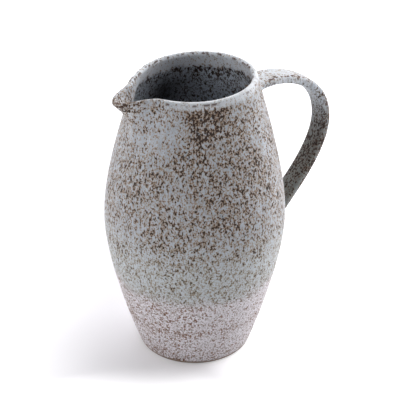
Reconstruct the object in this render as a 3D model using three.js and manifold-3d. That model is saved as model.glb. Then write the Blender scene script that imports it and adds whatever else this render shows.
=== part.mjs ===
import * as THREE from 'three';
import Module from 'manifold-3d';

// Wheel-thrown stoneware jug with a pulled spout and a strap handle.
// Millimetres, +Z up, origin at the centre of the base, spout toward -X, handle toward +X.

// Thrown wall, measured at the finished glaze surface
const jugHeight = 229.5;
const footRadius = 43.9;
const footFlare = 0.37; // outward run of the wall for each millimetre of rise at the foot
const footFlareHeight = 45;
const bellyRadius = 70.45;
const bellyHeight = 110.5;
const bellyEaseBelow = 19.5;
const bellyEaseAbove = 14;
const rimRadius = 45.45;
const shoulderTaper = 0.3; // inward run of the wall for each millimetre of rise at the rim
const shoulderHeight = 81.6;
const wallThickness = 5.2;
const rimThickness = 4.4;
const rimRound = 2.8;
const floorThickness = 7;
const innerCorner = 14;
const footBevel = 2.5;

// Hand-made irregularity of the mouth
const mouthHeight = 80; // the irregularity fades out this far below the rim
const rimLean = 2.05; // the rim's centre stands off toward the handle
const rimFall = 3.6; // the rim is lower at the spout than at the handle
const rimSqueeze = 0.5; // pulling the spout draws each side of the rim in

// Pulled spout
const spoutReach = 27.2;
const spoutTipRadius = 14.2;
const spoutThroat = 37.4; // height of the pulled part below the rim
const spoutSweep = 1.95; // how late the throat turns outward
const tipDrop = 2.5; // the tip hangs below the rest of the rim
const tipDropSpread = 10; // degrees to each side of the tip
const flankPinch = 3; // both flanks are pressed in beside the tip
const flankPinchAngle = 20.2; // degrees from the tip
const flankPinchSpread = 9.4;
const shoulderLift = 2.2; // the rim of the -Y flank rises again beside the spout
const shoulderLiftAngle = 22.6; // degrees from the tip
const shoulderLiftSpread = 17.9;

// Glaze: one dip over the lower wall, two dips above the dip line
const glazeThickness = 0.6;
const singleDip = 0.35;
const glazeFoot = 2.8; // bare clay below this height
const dipLine = 67;
const rimOverlap = 14; // the outer glaze runs this far down inside the rim
const seam = 0.3; // space between two coats of glaze, or a coat and a joint
const bond = 0.02; // space between a coat and the clay under it

// Strap handle, its path in the plane of the spout and the axis
const strapWidth = 15.5;
const strapThickness = 7.1;
const upperFlare = 8; // extra width at the upper joint
const upperThinning = 2.5; // the strap is flatter at the upper joint
const upperFlarePower = 5; // how close to the joint the strap widens and flattens
const lowerFlare = 3; // extra width at the lower joint
const lowerFlarePower = 6;
const strapEdge = 3.2; // squareness of the section: 2 is an ellipse
const upperJointDrop = 20.4; // below the rim
const upperRun = 28.2;
const upperRise = 5.1;
const handleStandoff = 50.25; // outermost centre line beyond the belly
const bendDrop = 45; // outermost centre line below the upper joint
const bendEaseAbove = 35.4;
const bendEaseBelow = 29.5;
const lowerJointRise = 16; // above the dip line
const lowerRun = 15.183797; // off the wall
const lowerRise = 23.451702; // up along the wall
const rootDepth = 18; // blank length of each end before it is cut to the wall

// Luting slip between the strap and the wall
const slipThickness = 1.4;
const seatGap = 0.3;
const filletWidth = 3.6;
const filletEnd = 0.9;
const upperFilletLength = 8;
const lowerFilletLength = 20;
const rootOverlap = 5; // each collar's rings start this far inside the wall

// Facets
const spoutSteps = 11;
const spoutCrowding = 1.6; // the steps draw together toward the tip
const flankAngle = 58; // degrees from the tip to where the flank meets the round wall
const wallSteps = 13;
const rimStep = 4; // first ring below the rounded rim
const lowerRings = 5;
const upperRings = 13;
const rimRings = 5;
const lipRings = 2;
const linerRings = 8;
const cornerRings = 4;
const strapSides = 16;
const strapRings = 34;
const collarRings = 7;

const rimBase = jugHeight - rimRound;
const upperJointHeight = jugHeight - upperJointDrop;
const handleBendHeight = upperJointHeight - bendDrop;
const lowerJointHeight = dipLine + lowerJointRise;

const lowerWall = new THREE.CubicBezierCurve(
  new THREE.Vector2(footRadius, 0),
  new THREE.Vector2(footRadius + footFlare * footFlareHeight, footFlareHeight),
  new THREE.Vector2(bellyRadius, bellyHeight - bellyEaseBelow),
  new THREE.Vector2(bellyRadius, bellyHeight),
);
const upperWall = new THREE.CubicBezierCurve(
  new THREE.Vector2(bellyRadius, bellyHeight),
  new THREE.Vector2(bellyRadius, bellyHeight + bellyEaseAbove),
  new THREE.Vector2(rimRadius + shoulderTaper * shoulderHeight, jugHeight - shoulderHeight),
  new THREE.Vector2(rimRadius, jugHeight),
);

// Outer radius of the round wall at a height, without the spout.
function radiusAt(height) {
  const curve = height < bellyHeight ? lowerWall : upperWall;
  let low = 0;
  let high = 1;
  for (let i = 0; i < 40; i += 1) {
    const middle = (low + high) / 2;
    if (curve.getPoint(middle).y < height) low = middle;
    else high = middle;
  }
  return curve.getPoint(low).x;
}

function thicknessAt(height) {
  const nearRim = THREE.MathUtils.smoothstep(height, jugHeight - mouthHeight, jugHeight);
  return THREE.MathUtils.lerp(wallThickness, rimThickness, nearRim);
}

function pullAt(height) {
  const up = THREE.MathUtils.clamp((height - jugHeight + spoutThroat) / spoutThroat, 0, 1);
  return spoutReach * Math.pow(up, spoutSweep);
}

// Distance from the axis to a teardrop outline: a round wall, two straight flanks tangent to it
// and a small round tip. The angle is measured from the spout.
function teardrop(angle, radius, tipDistance, tipRadius) {
  const turn = Math.abs(Math.atan2(Math.sin(angle), Math.cos(angle)));
  const centre = tipDistance - tipRadius;
  if (centre <= radius - tipRadius + 1e-6) return radius;
  const flank = Math.acos((radius - tipRadius) / centre);
  const tipEnd = Math.atan2(tipRadius * Math.sin(flank), centre + tipRadius * Math.cos(flank));
  if (turn >= flank) return radius;
  if (turn > tipEnd) return radius / Math.cos(flank - turn);
  const across = centre * Math.sin(turn);
  return centre * Math.cos(turn) + Math.sqrt(Math.max(tipRadius * tipRadius - across * across, 0));
}

// Angle from the spout's tip in degrees, -180 to 180, positive toward -Y.
function fromTip(angle) {
  return THREE.MathUtils.radToDeg(Math.atan2(Math.sin(angle), Math.cos(angle)));
}

// A smooth swelling of height 1 about an angle.
function swelling(degrees, centre, width) {
  return Math.exp(-Math.pow((degrees - centre) / width, 2));
}

function ringRadius(height, angle, inset) {
  const radius = radiusAt(height) - inset;
  const pull = pullAt(height);
  const pressed = swelling(Math.abs(fromTip(angle)), flankPinchAngle, flankPinchSpread);
  const outline = teardrop(angle, radius, radius + pull, spoutTipRadius - inset);
  return outline - flankPinch * pressed * pull / spoutReach;
}

function leanAt(height) {
  return rimLean * Math.pow(height / jugHeight, 2);
}

// A point of the jug from its distance, height and angle, with the mouth's irregularity.
function place(distance, height, angle) {
  const mouth = THREE.MathUtils.smoothstep(height, jugHeight - mouthHeight, jugHeight);
  const degrees = fromTip(angle);
  const fall = rimFall * (1 + Math.cos(angle)) / 2
    + tipDrop * swelling(degrees, 0, tipDropSpread)
    - shoulderLift * swelling(degrees, shoulderLiftAngle, shoulderLiftSpread);
  const squeeze = 1 - rimSqueeze * mouth / rimRadius;
  return new THREE.Vector3(
    leanAt(height) - distance * Math.cos(angle),
    -distance * Math.sin(angle) * squeeze,
    height - fall * mouth,
  );
}

// A point of the jug's skin. The depth is measured down from the finished glaze surface.
function skinPoint(station, angle, depth) {
  if (station.side === 'outer') {
    return place(ringRadius(station.height, angle, depth), station.height, angle);
  }
  if (station.side === 'inner') {
    const inset = thicknessAt(station.height) - depth;
    return place(ringRadius(station.height, angle, inset), station.height, angle);
  }
  if (station.side === 'rim') {
    const outer = ringRadius(rimBase, angle, 0);
    const inner = ringRadius(rimBase, angle, thicknessAt(rimBase));
    const half = (outer - inner) / 2 - depth;
    const distance = (outer + inner) / 2 + half * Math.cos(station.turn);
    return place(distance, rimBase + (rimRound - depth) * Math.sin(station.turn), angle);
  }
  const cornerTop = floorThickness + innerCorner;
  const bend = radiusAt(cornerTop) - thicknessAt(cornerTop) - innerCorner;
  if (station.side === 'corner') {
    const distance = bend + (innerCorner + depth) * Math.cos(station.turn);
    return place(distance, cornerTop - (innerCorner + depth) * Math.sin(station.turn), angle);
  }
  return place(bend * station.share, floorThickness - depth, angle);
}

// Angles round a ring, closer together at the spout.
const flankEnd = THREE.MathUtils.degToRad(flankAngle);
const halfRing = [];
for (let i = 1; i <= spoutSteps; i += 1) {
  halfRing.push(flankEnd * Math.pow(i / spoutSteps, spoutCrowding));
}
for (let i = 1; i < wallSteps; i += 1) {
  halfRing.push(flankEnd + (Math.PI - flankEnd) * i / wallSteps);
}
const ringAngles = [0, ...halfRing, Math.PI, ...halfRing.map((a) => 2 * Math.PI - a).reverse()];

function ring(station, depth) {
  return ringAngles.map((angle) => skinPoint(station, angle, depth));
}

function spread(from, to, count) {
  return Array.from({ length: count + 1 }, (_, i) => from + (to - from) * i / count);
}

const outerAt = (height) => ({ side: 'outer', height });
const innerAt = (height) => ({ side: 'inner', height });
const cornerTop = floorThickness + innerCorner;
const overlapEnd = rimBase - rimOverlap;
const lowerStations = spread(glazeFoot, dipLine, lowerRings).map(outerAt);
const upperStations = spread(dipLine, rimBase - rimStep, upperRings).slice(1).map(outerAt);
const rimStations = spread(0, Math.PI, rimRings).map((turn) => ({ side: 'rim', turn }));
const lipStations = spread(rimBase - rimStep, overlapEnd, lipRings).map(innerAt);
const linerStations = [
  ...spread(overlapEnd - seam, cornerTop, linerRings).map(innerAt),
  ...spread(0, Math.PI / 2, cornerRings).slice(1).map((turn) => ({ side: 'corner', turn })),
  { side: 'floor', share: 0.5 },
];

// A closed surface through a row of rings. A row that starts and ends with a single point is
// closed there; any other row runs round on itself. Each face is split along its shorter diagonal,
// so a coat and the clay under it have the same facets.
function loft(rows) {
  const positions = [];
  const starts = rows.map((row) => {
    const start = positions.length / 3;
    row.forEach((p) => positions.push(p.x, p.y, p.z));
    return start;
  });
  const corner = (i) => new THREE.Vector3().fromArray(positions, 3 * i);
  const gap = (i, j) => corner(i).distanceTo(corner(j));
  const index = [];
  const closed = rows[0].length > 1;
  const last = closed ? rows.length : rows.length - 1;
  for (let k = 0; k < last; k += 1) {
    const next = (k + 1) % rows.length;
    const sides = Math.max(rows[k].length, rows[next].length);
    for (let i = 0; i < sides; i += 1) {
      const j = (i + 1) % sides;
      const a = starts[k] + (rows[k].length > 1 ? i : 0);
      const b = starts[k] + (rows[k].length > 1 ? j : 0);
      const c = starts[next] + (rows[next].length > 1 ? j : 0);
      const d = starts[next] + (rows[next].length > 1 ? i : 0);
      if (a === b) index.push(a, c, d);
      else if (c === d) index.push(a, b, c);
      else if (gap(a, c) < gap(b, d)) index.push(a, b, c, a, c, d);
      else index.push(a, b, d, b, c, d);
    }
  }
  const geometry = new THREE.BufferGeometry();
  geometry.setAttribute('position', new THREE.Float32BufferAttribute(positions, 3));
  geometry.setIndex(index);
  return geometry;
}

const axisPoint = (height) => [new THREE.Vector3(leanAt(height), 0, height)];

// Thrown body: floor, wall, rim and spout are one piece of clay.
const footRing = ringAngles.map((angle) => place(footRadius - footBevel, 0, angle));
const bodyGeometry = loft([
  axisPoint(0),
  footRing,
  ring(outerAt(footBevel), glazeThickness),
  ...lowerStations.map((station) => ring(station, glazeThickness)),
  ...upperStations.map((station) => ring(station, glazeThickness)),
  ...rimStations.map((station) => ring(station, glazeThickness)),
  ...lipStations.map((station) => ring(station, glazeThickness)),
  ...linerStations.slice(1).map((station) => ring(station, glazeThickness)),
  axisPoint(floorThickness - glazeThickness),
]);

// A coat of glaze over a row of stations, from its finished face down to the clay.
function coat(stations, faceDepth) {
  const face = stations.map((station) => ring(station, faceDepth));
  const back = stations.map((station) => ring(station, glazeThickness - bond)).reverse();
  return loft([...face, ...back]);
}

const upperCoatStations = [outerAt(dipLine + seam), ...upperStations, ...rimStations, ...lipStations];
const linerGeometry = loft([
  axisPoint(floorThickness - glazeThickness + bond),
  ...linerStations.map((station) => ring(station, glazeThickness - bond)).reverse(),
  ...linerStations.map((station) => ring(station, 0)),
  axisPoint(floorThickness),
]);

// Strap path from inside the wall below the rim, out round the bend and back to the belly.
const onPlane = (x, z) => new THREE.Vector3(x, 0, z);
const wallX = (height) => leanAt(height) + radiusAt(height) - glazeThickness;
const upperRoot = onPlane(wallX(upperJointHeight), upperJointHeight);
const lowerRoot = onPlane(wallX(lowerJointHeight), lowerJointHeight);
const bendX = bellyRadius + handleStandoff;
const upperGuide = upperRoot.clone().add(onPlane(upperRun, upperRise));
const lowerSlope = onPlane(
  wallX(lowerJointHeight + seam) - wallX(lowerJointHeight - seam),
  2 * seam,
).normalize(); // the strap's lower end keeps its angle to the wall
const lowerGuide = lowerRoot.clone()
  .addScaledVector(lowerSlope, lowerRise)
  .addScaledVector(onPlane(lowerSlope.z, -lowerSlope.x), lowerRun);
const upperBlankEnd = upperRoot.clone().addScaledVector(
  upperRoot.clone().sub(upperGuide).normalize(),
  rootDepth,
);
const lowerBlankEnd = lowerRoot.clone().addScaledVector(
  lowerRoot.clone().sub(lowerGuide).normalize(),
  rootDepth,
);
const strapPath = new THREE.CurvePath();
strapPath.add(new THREE.LineCurve3(upperBlankEnd, upperRoot));
strapPath.add(new THREE.CubicBezierCurve3(
  upperRoot,
  upperGuide,
  onPlane(bendX, handleBendHeight + bendEaseAbove),
  onPlane(bendX, handleBendHeight),
));
strapPath.add(new THREE.CubicBezierCurve3(
  onPlane(bendX, handleBendHeight),
  onPlane(bendX, handleBendHeight - bendEaseBelow),
  lowerGuide,
  lowerRoot,
));
strapPath.add(new THREE.LineCurve3(lowerRoot, lowerBlankEnd));
const strapLength = strapPath.getLength();

// Share of the path at a distance along it. Rounding never carries the last ring past the path's end.
function shareAt(distance) {
  return Math.min(distance / strapLength, 1);
}

// Section of the strap at a distance along its path, grown all round by some amount.
function strapRing(distance, growth) {
  const share = shareAt(distance);
  const centre = strapPath.getPoint(share);
  const along = strapPath.getTangent(share);
  const outward = new THREE.Vector3(-along.z, 0, along.x);
  const exposed = THREE.MathUtils.clamp((distance - rootDepth) / (strapLength - 2 * rootDepth), 0, 1);
  const nearUpper = Math.pow(1 - exposed, upperFlarePower);
  const nearLower = Math.pow(exposed, lowerFlarePower);
  const halfWidth = (strapWidth + upperFlare * nearUpper + lowerFlare * nearLower) / 2 + growth;
  const halfThickness = (strapThickness - upperThinning * nearUpper) / 2 + growth;
  return Array.from({ length: strapSides }, (_, i) => {
    const turn = (i + 0.5) * 2 * Math.PI / strapSides;
    const c = Math.cos(turn);
    const s = Math.sin(turn);
    const across = Math.sign(c) * Math.pow(Math.abs(c), 2 / strapEdge) * halfWidth;
    const through = Math.sign(s) * Math.pow(Math.abs(s), 2 / strapEdge) * halfThickness;
    return centre.clone().add(new THREE.Vector3(0, across, 0)).addScaledVector(outward, through);
  });
}

function strapCentre(distance) {
  return [strapPath.getPoint(shareAt(distance))];
}

function strapBlank(distances, growthAt) {
  return loft([
    strapCentre(distances[0]),
    ...distances.map((distance) => strapRing(distance, growthAt(distance))),
    strapCentre(distances[distances.length - 1]),
  ]);
}

const strapDistances = spread(0, strapLength, strapRings);
const upperFilletEnd = rootDepth + upperFilletLength;
const lowerFilletEnd = strapLength - rootDepth - lowerFilletLength;

// Width of the slip fillet at a distance from the wall along the strap.
function filletAt(run, length) {
  const away = THREE.MathUtils.clamp(1 - run / length, 0, 1);
  return filletEnd + (filletWidth - filletEnd) * away * away;
}

function upperCollarBlank(growth) {
  const start = rootDepth - rootOverlap;
  const distances = [0, ...spread(start, upperFilletEnd + growth, collarRings)];
  const fillet = (distance) => filletAt(Math.max(distance - rootDepth, 0), upperFilletLength);
  return strapBlank(distances, (distance) => fillet(distance) + growth);
}

function lowerCollarBlank(growth) {
  const end = strapLength - rootDepth;
  const start = lowerFilletEnd - growth;
  const distances = [...spread(start, end + rootOverlap, collarRings), strapLength];
  const fillet = (distance) => filletAt(Math.max(end - distance, 0), lowerFilletLength);
  return strapBlank(distances, (distance) => fillet(distance) + growth);
}

// Everything inside a surface that stands off from the clay wall.
function wallEnvelope(standoff) {
  const stations = [outerAt(0), ...lowerStations, ...upperStations, outerAt(jugHeight)];
  return loft([
    axisPoint(0),
    ...stations.map((station) => ring(station, glazeThickness - standoff)),
    axisPoint(jugHeight),
  ]);
}

const wasm = await Module();
wasm.setup();

function solidOf(geometry) {
  return new wasm.Manifold(new wasm.Mesh({
    numProp: 3,
    vertProperties: new Float32Array(geometry.attributes.position.array),
    triVerts: new Uint32Array(geometry.index.array),
  }));
}

function geometryOf(solid) {
  const mesh = solid.getMesh();
  const geometry = new THREE.BufferGeometry();
  geometry.setAttribute('position', new THREE.BufferAttribute(mesh.vertProperties, 3));
  geometry.setIndex(new THREE.BufferAttribute(mesh.triVerts, 1));
  return geometry;
}

const plainGrowth = (amount) => () => amount;
const slipSeat = solidOf(wallEnvelope(slipThickness));
const jointSeat = solidOf(wallEnvelope(seatGap));
const strapSolid = solidOf(strapBlank(strapDistances, plainGrowth(0))).subtract(slipSeat);
const strapRoom = solidOf(strapBlank(strapDistances, plainGrowth(seatGap)))
  .subtract(solidOf(wallEnvelope(slipThickness - seatGap)));
const upperJoint = solidOf(upperCollarBlank(0)).subtract(jointSeat).subtract(strapRoom);
const lowerJoint = solidOf(lowerCollarBlank(0)).subtract(jointSeat).subtract(strapRoom);
const upperCoat = solidOf(coat(upperCoatStations, 0))
  .subtract(solidOf(upperCollarBlank(seam)))
  .subtract(solidOf(lowerCollarBlank(seam)));
const lowerCoat = solidOf(coat(lowerStations, glazeThickness - singleDip))
  .subtract(solidOf(lowerCollarBlank(seam)));

const ringGap = strapLength / strapRings / 2;
const sleeveDistances = strapDistances.filter(
  (distance) => distance > upperFilletEnd + ringGap && distance < lowerFilletEnd - ringGap,
);
const sleeveStops = [upperFilletEnd + seam, ...sleeveDistances, lowerFilletEnd - seam];
const sleeveBlank = solidOf(strapBlank(sleeveStops, plainGrowth(glazeThickness)));
const sleeveBore = solidOf(strapBlank(strapDistances, plainGrowth(bond)));
const strapCoat = sleeveBlank.subtract(sleeveBore);

const stoneware = new THREE.MeshStandardMaterial({ color: 0xb7a593, roughness: 0.9, metalness: 0 });
const slip = new THREE.MeshStandardMaterial({ color: 0x9d8b7b, roughness: 0.85, metalness: 0 });
const doubleGlaze = new THREE.MeshStandardMaterial({ color: 0xa9aeb3, roughness: 0.4, metalness: 0 });
const singleGlaze = new THREE.MeshStandardMaterial({ color: 0xb9b3b0, roughness: 0.6, metalness: 0 });
const linerGlaze = new THREE.MeshStandardMaterial({ color: 0x9ea4aa, roughness: 0.35, metalness: 0 });

const jug = new THREE.Group();
function addPiece(name, geometry, material) {
  const mesh = new THREE.Mesh(geometry, material);
  mesh.name = name;
  jug.add(mesh);
}
addPiece('thrown_body', bodyGeometry, stoneware);
addPiece('strap_handle', geometryOf(strapSolid), stoneware);
addPiece('upper_slip_joint', geometryOf(upperJoint), slip);
addPiece('lower_slip_joint', geometryOf(lowerJoint), slip);
addPiece('upper_glaze', geometryOf(upperCoat), doubleGlaze);
addPiece('lower_glaze', geometryOf(lowerCoat), singleGlaze);
addPiece('liner_glaze', linerGeometry, linerGlaze);
addPiece('handle_glaze', geometryOf(strapCoat), doubleGlaze);

export default jug;
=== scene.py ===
import bpy
import math
import numpy as np
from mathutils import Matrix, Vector


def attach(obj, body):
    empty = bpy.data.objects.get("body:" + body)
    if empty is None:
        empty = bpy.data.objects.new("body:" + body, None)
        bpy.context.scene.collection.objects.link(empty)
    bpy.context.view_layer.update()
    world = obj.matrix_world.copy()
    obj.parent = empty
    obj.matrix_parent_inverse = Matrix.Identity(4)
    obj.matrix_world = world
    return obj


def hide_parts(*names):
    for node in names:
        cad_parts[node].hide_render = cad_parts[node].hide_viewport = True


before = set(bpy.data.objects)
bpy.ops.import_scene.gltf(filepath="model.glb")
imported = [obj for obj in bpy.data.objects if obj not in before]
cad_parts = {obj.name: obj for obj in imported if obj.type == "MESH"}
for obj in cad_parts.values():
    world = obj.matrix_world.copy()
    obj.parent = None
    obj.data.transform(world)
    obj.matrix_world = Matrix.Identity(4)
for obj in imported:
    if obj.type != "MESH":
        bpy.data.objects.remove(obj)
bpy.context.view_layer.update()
scene = bpy.context.scene
scene.view_settings.view_transform = "Standard"
mm = 0.001


def srgb(r, g, b):  # 0-255 screen colour to the linear colour that nodes take
    def lin(v):
        v = v / 255
        return v / 12.92 if v <= 0.04045 else ((v + 0.055) / 1.055) ** 2.4
    return (lin(r), lin(g), lin(b), 1.0)


# node helpers

def setInput(tree, socket, value):
    if isinstance(value, bpy.types.NodeSocket):
        tree.links.new(value, socket)
    elif value is not None:
        socket.default_value = value


def addNode(tree, kind, settings=None, **inputs):
    node = tree.nodes.new(kind)
    for key, value in (settings or {}).items():
        setattr(node, key, value)
    for key, value in inputs.items():
        setInput(tree, node.inputs[key.replace("_", " ")], value)
    return node


def maths(tree):
    def calc(operation, *terms, clamp=False):
        node = tree.nodes.new("ShaderNodeMath")
        node.operation = operation
        node.use_clamp = clamp
        for socket, term in zip(node.inputs, terms):
            setInput(tree, socket, term)
        return node.outputs[0]
    return calc


def vector(tree, operation, *terms):
    node = tree.nodes.new("ShaderNodeVectorMath")
    node.operation = operation
    for socket, term in zip(node.inputs, terms):
        setInput(tree, socket, term)
    return node.outputs["Value" if operation in ("DOT_PRODUCT", "DISTANCE") else "Vector"]


def ramp(tree, value, low, high):  # eases from 0 at low to 1 at high
    node = addNode(tree, "ShaderNodeMapRange", {"interpolation_type": "SMOOTHSTEP"}, Value=value)
    setInput(tree, node.inputs["From Min"], low)
    setInput(tree, node.inputs["From Max"], high)
    return node.outputs[0]


def newGroup(name, kind, inputs, outputs):
    tree = bpy.data.node_groups.new(name, kind)
    for label, socketType in inputs:
        tree.interface.new_socket(name=label, in_out="INPUT", socket_type=socketType)
    for label, socketType in outputs:
        tree.interface.new_socket(name=label, in_out="OUTPUT", socket_type=socketType)
    return tree, tree.nodes.new("NodeGroupInput").outputs, tree.nodes.new("NodeGroupOutput").inputs


def floatSockets(labels):
    return [(label, "NodeSocketFloat") for label in labels]


def stored(tree, name, kind="FLOAT"):  # reads an attribute that the mesh or an earlier node holds
    return addNode(tree, "GeometryNodeInputNamedAttribute", {"data_type": kind}, Name=name).outputs[0]


def keep(tree, geometry, name, value, kind="FLOAT"):
    return addNode(tree, "GeometryNodeStoreNamedAttribute", {"data_type": kind, "domain": "POINT"},
                   Geometry=geometry, Name=name, Value=value).outputs[0]


def finishTree(tree, geometry, material):  # every tree ends smooth, real and painted
    smooth = addNode(tree, "GeometryNodeSetShadeSmooth", Geometry=geometry).outputs[0]
    real = addNode(tree, "GeometryNodeRealizeInstances", Geometry=smooth).outputs[0]
    return addNode(tree, "GeometryNodeSetMaterial", Geometry=real, Material=material).outputs[0]


# the thrown wall: one rule gives the clay, the outer coats and the liner

wall = {
    "height": 229.5, "footRadius": 43.9, "footFlare": 0.37, "footFlareHeight": 45.0,
    "bellyRadius": 70.1, "bellyHeight": 110.5, "bellyEaseBelow": 19.5, "bellyEaseAbove": 14.0,
    "rimRadius": 45.45, "shoulderTaper": 0.3, "shoulderHeight": 81.6, "curvePoints": 300,
    "thickness": 5.2, "rimThickness": 4.4, "rimRound": 2.8, "rimCrown": 2.65,
    "floor": 7.0, "corner": 14.0, "footBevel": 2.5,
    "mouthHeight": 80.0, "lean": 2.05, "fall": 3.6, "squeeze": 0.5,  # hand-made irregularity of the mouth
    "spoutReach": 27.2, "tipRadius": 14.2, "throat": 37.4, "sweep": 1.95,
    "tipDrop": 2.5, "tipDropSpread": 10.0,
    "pinch": 3.0, "pinchAngle": 20.2, "pinchSpread": 9.4,  # both flanks pressed in beside the tip
    "lift": 2.2, "liftAngle": 22.6, "liftSpread": 17.9,  # the near flank's rim rises again
    "glaze": 0.6, "singleDip": 0.35, "glazeFoot": 2.8, "dipLine": 67.0, "rimOverlap": 14.0,
    "dipEase": 9.0, "dipTuck": 1.5, "tuckDepth": 0.3,  # the first coat runs in under the second
    "footFade": 1.0, "footThinning": 0.3, "coatClear": 0.003, "clayClear": 0.01, "bevelStep": 0.7,
    "faceStop": 1.2, "backStop": 2.0, "outerBackStop": 3.0,  # last rows below the round lip
    "steps": 360, "tipCrowding": 0.5,  # steps round the wall, closer together at the spout
    "wobble": 0.22, "wobbleAround": 0.9, "wobbleUp": 9.0, "wobbleScale": 1.3,
    "rings": 0.06, "ringsAround": 0.25, "ringsUp": 260.0, "ringsScale": 1.0,
    "noiseTop": 0.75, "axisFade": 22.0,  # noise mostly presses in, and dies away at the axis
    "noPull": 0.001, "weld": 0.002, "linerRows": 60,
}
lipBreak = {  # turn from the outside (0) over the crown to the inside (pi), then spread
    "outerThin": (0.25, 0.36), "innerThin": (2.4, 0.6), "crest": (1.3, 0.55), "crestGain": 1.2,
}
rimBase = wall["height"] - wall["rimRound"]
overlapEnd = rimBase - wall["rimOverlap"]
faceTop = rimBase - wall["faceStop"]
backTop = rimBase - wall["backStop"]


def bezier(points, count):
    t = np.linspace(0, 1, count)[:, None]
    a, b, c, d = (np.array(p, float) for p in points)
    return (1 - t) ** 3 * a + 3 * (1 - t) ** 2 * t * b + 3 * (1 - t) * t ** 2 * c + t ** 3 * d


def wallCurve():
    radius, middle = wall["bellyRadius"], wall["bellyHeight"]
    flare, taper = wall["footFlareHeight"], wall["shoulderHeight"]
    low = [(wall["footRadius"], 0), (wall["footRadius"] + wall["footFlare"] * flare, flare),
           (radius, middle - wall["bellyEaseBelow"]), (radius, middle)]
    high = [(radius, middle), (radius, middle + wall["bellyEaseAbove"]),
            (wall["rimRadius"] + wall["shoulderTaper"] * taper, wall["height"] - taper),
            (wall["rimRadius"], wall["height"])]
    return np.vstack([bezier(low, wall["curvePoints"]), bezier(high, wall["curvePoints"])[1:]])


profile = wallCurve()


def radiusAt(height):
    return float(np.interp(height, profile[:, 1], profile[:, 0]))


def shareUp(height, run):  # 0 at a run below the rim, 1 at the rim
    return min(max((height - wall["height"] + run) / run, 0), 1)


def mouthAt(height):
    t = shareUp(height, wall["mouthHeight"])
    return t * t * (3 - 2 * t)


def squeezeAt(height):
    return 1 - wall["squeeze"] / wall["rimRadius"] * mouthAt(height)


def thicknessAt(height):
    return wall["thickness"] + (wall["rimThickness"] - wall["thickness"]) * mouthAt(height)


def pullAt(height):
    return wall["spoutReach"] * shareUp(height, wall["throat"]) ** wall["sweep"]


def leanAt(height):
    return wall["lean"] * (height / wall["height"]) ** 2


cornerTop = wall["floor"] + wall["corner"]
cornerBend = radiusAt(cornerTop) - thicknessAt(cornerTop) - wall["corner"]  # edge of the flat floor

# a section point: distance from the axis, height, spout pull, tip radius,
# depth below the rim (above zero inside, below zero outside) and thinness of the glaze
pointFields = {"dist": mm, "high": mm, "pull": mm, "tip": mm, "depth": mm, "thin": 1}


def wallPoint(height, inset, depth=0.0, thin=0.0):
    return (radiusAt(height) - inset, height, pullAt(height), wall["tipRadius"] - inset, depth, thin)


def roundPoint(out, height, depth=0.0):  # below the spout's throat
    return (out, height, 0.0, wall["tipRadius"], depth, 0.0)


def outerPoint(height, depth):
    return wallPoint(height, depth, height - wall["height"])


def innerPoint(height, depth):
    return wallPoint(height, thicknessAt(height) - depth, wall["height"] - height)


def swell(value, middle, spread):
    return math.exp(-((value - middle) / spread) ** 2)


def rimPoint(turn, depth):
    half = thicknessAt(rimBase) / 2
    inset = half - (half - depth) * math.cos(turn)
    thin = swell(turn, *lipBreak["outerThin"]) + swell(turn, *lipBreak["innerThin"])
    thin -= lipBreak["crestGain"] * swell(turn, *lipBreak["crest"])  # below zero on the crest, which takes a painted highlight on the near side and brown beads elsewhere
    rise = (wall["rimCrown"] - depth) * math.sin(turn)
    below = (wall["rimRound"] - rise) * (1 if turn > math.pi / 2 else -1)
    base = wallPoint(rimBase, inset, below, min(max(thin, -1), 1))
    return (base[0], rimBase + rise) + base[2:]


def cornerPoint(turn, depth):
    reach = wall["corner"] + depth
    out = cornerBend + reach * math.cos(turn)
    return roundPoint(out, cornerTop - reach * math.sin(turn), wall["height"])


def floorPoint(share, depth):
    return roundPoint(cornerBend * share, wall["floor"] - depth, wall["height"])


def pointsAlong(make, start, end, count, depth):
    return [make(place, depth) for place in np.linspace(start, end, count)]


def upperSection():
    face = pointsAlong(outerPoint, wall["dipLine"], faceTop, count=74, depth=0)
    face += pointsAlong(rimPoint, 0, math.pi, count=15, depth=0)
    face += pointsAlong(innerPoint, faceTop, overlapEnd, count=8, depth=0)
    back = pointsAlong(innerPoint, overlapEnd, backTop, count=4, depth=wall["glaze"])
    back += pointsAlong(rimPoint, math.pi, 0, count=9, depth=wall["glaze"])
    backStart = rimBase - wall["outerBackStop"]
    back += pointsAlong(outerPoint, backStart, wall["dipLine"], count=40, depth=wall["glaze"])
    return face + back, True


def lowerFace(height, clear):
    ease = min((wall["dipLine"] - height) / wall["dipEase"], 1)
    foot = min((height - wall["glazeFoot"]) / wall["footFade"], 1)
    feather = wall["footThinning"] * (1 - foot) ** 2
    return outerPoint(height, (wall["glaze"] - wall["singleDip"]) * ease + feather + clear)


def lowerSection():
    top = wall["dipLine"] + wall["dipTuck"]
    face = pointsAlong(lowerFace, wall["glazeFoot"], wall["dipLine"], count=34, depth=wall["coatClear"])
    back = pointsAlong(outerPoint, top, wall["glazeFoot"], count=28, depth=wall["glaze"])
    return face + [outerPoint(top, wall["tuckDepth"])] + back, True


def linerSection():
    heights = np.linspace(overlapEnd, cornerTop, wall["linerRows"])
    face = [innerPoint(h, 0) for h in heights]
    face += pointsAlong(cornerPoint, 0, math.pi / 2, count=12, depth=0)[1:]
    face += [floorPoint(share, 0) for share in (0.66, 0.33, 0)]
    back = [innerPoint(h, wall["glaze"]) for h in heights[::3]]
    back += pointsAlong(cornerPoint, 0, math.pi / 2, count=6, depth=wall["glaze"])[1:]
    back += [floorPoint(share, wall["glaze"]) for share in (0.5, 0)]
    return back[::-1] + face, False


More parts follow.
